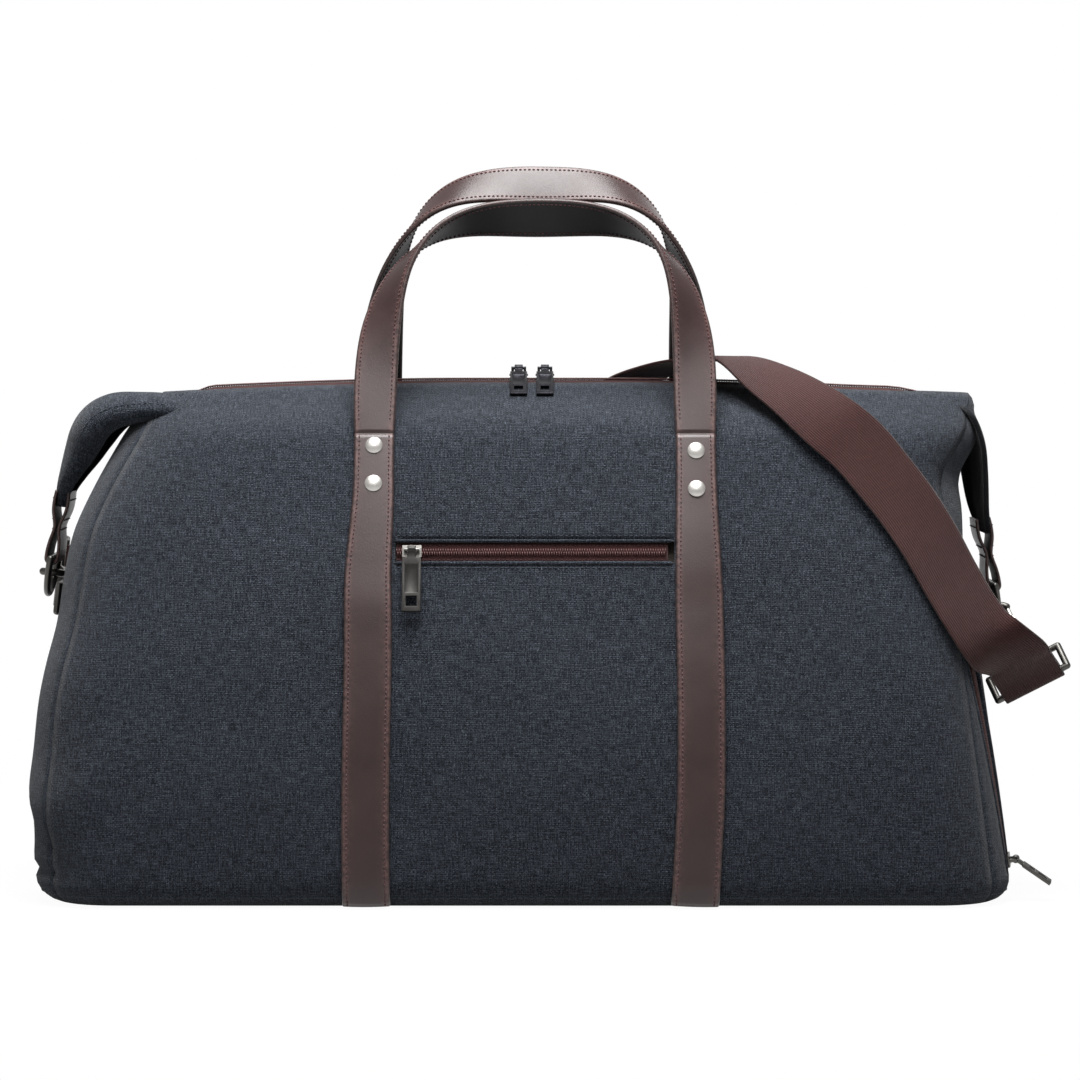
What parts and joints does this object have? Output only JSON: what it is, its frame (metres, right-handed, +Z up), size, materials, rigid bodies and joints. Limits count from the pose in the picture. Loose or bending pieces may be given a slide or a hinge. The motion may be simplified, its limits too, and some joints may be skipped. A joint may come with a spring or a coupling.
{
  "type": "weekender bag",
  "caption": "Canvas travel bag with leather straps, two carrying handles, zipped top, front pocket, end compartment and webbing shoulder strap.",
  "frame": {"origin": "middle of the flat face that the bag rests on", "axes": "+X along the length towards the shoe compartment, -Y out of the front panel with the pocket, +Z up"},
  "size_m": [0.6086, 0.254, 0.4247],
  "materials": {
    "canvas": "matte heathered woven canvas",
    "board": "matte",
    "lining": "matte",
    "zip_tape": "woven tape",
    "zip_coil": "satin nylon coil",
    "leather": "smooth with a slight sheen",
    "nickel": "polished nickel",
    "webbing": "ribbed webbing",
    "dark_metal": "dark gunmetal",
    "gunmetal": "satin gunmetal"
  },
  "bodies": {
    "root": {"canvas_front": "canvas", "canvas_back": "canvas", "end_panel_left": "canvas", "end_panel_right": "canvas", "base_canvas": "canvas", "base_board": "board", "lining": "lining", "shoe_wall": "lining", "pocket_bag": "lining", "top_tape": "zip_tape", "top_coil": "zip_coil", "pocket_tape": "zip_tape", "pocket_coil": "zip_coil", "shoe_tape": "zip_tape", "shoe_coil": "zip_coil", "ear_left": "canvas", "ear_right": "canvas", "tab_left": "leather", "tab_right": "leather", "strap_front_left": "leather", "strap_front_right": "leather", "strap_back_left": "leather", "strap_back_right": "leather", "rivet_front_left": "nickel", "rivet_front_right": "nickel", "rivet_back_left": "nickel", "rivet_back_right": "nickel", "hook_loop_left": "gunmetal", "hook_loop_right": "gunmetal", "webbing": "webbing", "adjuster": "gunmetal"},
    "handle_front": {"handle_front": "leather"},
    "handle_back": {"handle_back": "leather"},
    "top_slider_left": {"top_slider_left": "gunmetal"},
    "top_slider_right": {"top_slider_right": "gunmetal"},
    "top_puller_left": {"top_puller_left": "dark_metal"},
    "top_puller_right": {"top_puller_right": "dark_metal"},
    "pocket_slider": {"pocket_slider": "gunmetal"},
    "pocket_puller": {"pocket_puller": "gunmetal"},
    "shoe_slider": {"shoe_slider": "gunmetal"},
    "shoe_puller": {"shoe_puller": "gunmetal"},
    "d_ring_left": {"d_ring_left": "gunmetal"},
    "d_ring_right": {"d_ring_right": "gunmetal"},
    "hook_claw_left": {"hook_claw_left": "gunmetal"},
    "hook_claw_right": {"hook_claw_right": "gunmetal"},
    "hook_gate_left": {"hook_gate_left": "gunmetal"},
    "hook_gate_right": {"hook_gate_right": "gunmetal"}
  },
  "joints": [
    {"name": "front_handle_swing", "type": "hinge", "parent": "root", "child": "handle_front", "pos_m": [0, -0.05782, 0.2674], "axis": [1, 0, 0], "range_deg": [0, 130]},
    {"name": "back_handle_swing", "type": "hinge", "parent": "root", "child": "handle_back", "pos_m": [0, 0.05782, 0.2674], "axis": [-1, 0, 0], "range_deg": [0, 130]},
    {"name": "top_zip_left", "type": "slide", "parent": "root", "child": "top_slider_left", "axis": [-1, 0, 0], "range_m": [0, 0.18]},
    {"name": "top_zip_right", "type": "slide", "parent": "root", "child": "top_slider_right", "axis": [1, 0, 0], "range_m": [0, 0.17]},
    {"name": "top_puller_left_flip", "type": "hinge", "parent": "top_slider_left", "child": "top_puller_left", "pos_m": [-0.0065, 0, 0.3043], "axis": [-1, 0, 0], "range_deg": [0, 235]},
    {"name": "top_puller_right_flip", "type": "hinge", "parent": "top_slider_right", "child": "top_puller_right", "pos_m": [0.009, 0, 0.3043], "axis": [-1, 0, 0], "range_deg": [0, 235]},
    {"name": "pocket_zip", "type": "slide", "parent": "root", "child": "pocket_slider", "axis": [1, 0, 0], "range_m": [0, 0.14]},
    {"name": "pocket_puller_flip", "type": "hinge", "parent": "pocket_slider", "child": "pocket_puller", "pos_m": [-0.0673, -0.08757, 0.20185], "axis": [-1, 0, 0], "range_deg": [0, 150]},
    {"name": "shoe_zip", "type": "slide", "parent": "root", "child": "shoe_slider", "axis": [-0.1525, -0.0705, 0.9858], "range_m": [0, 0.03]},
    {"name": "shoe_puller_flip", "type": "hinge", "parent": "shoe_slider", "child": "shoe_puller", "pos_m": [0.27946, -0.08717, 0.0237], "axis": [-0.1661, -0.9814, -0.0958], "range_deg": [0, 90]},
    {"name": "ring_left_swing", "type": "hinge", "parent": "root", "child": "d_ring_left", "pos_m": [-0.28196, 0, 0.19249], "axis": [0, 1, 0], "range_deg": [-5, 5]},
    {"name": "ring_right_swing", "type": "hinge", "parent": "root", "child": "d_ring_right", "pos_m": [0.27406, 0, 0.17649], "axis": [0, 1, 0], "range_deg": [-3, 3]},
    {"name": "hook_left_swivel", "type": "hinge", "parent": "root", "child": "hook_claw_left", "pos_m": [-0.28526, 0.06981, 0.17667], "axis": [0, -0.9949, 0.1005], "range_deg": [-8, 8]},
    {"name": "hook_right_swivel", "type": "hinge", "parent": "root", "child": "hook_claw_right", "pos_m": [0.29395, -0.04228, 0.12098], "axis": [-0.2989, 0.6177, 0.7274], "range_deg": [-8, 8]},
    {"name": "hook_left_gate", "type": "hinge", "parent": "hook_claw_left", "child": "hook_gate_left", "pos_m": [-0.29056, 0.02423, 0.1818], "axis": [0.099, 0.1, 0.99], "range_deg": [0, 16], "stiffness_Nm_per_rad": 0.01},
    {"name": "hook_right_gate", "type": "hinge", "parent": "hook_claw_right", "child": "hook_gate_right", "pos_m": [0.28531, -0.01308, 0.15569], "axis": [-0.0375, -0.7692, 0.6379], "range_deg": [0, 16], "stiffness_Nm_per_rad": 0.01}
  ]
}
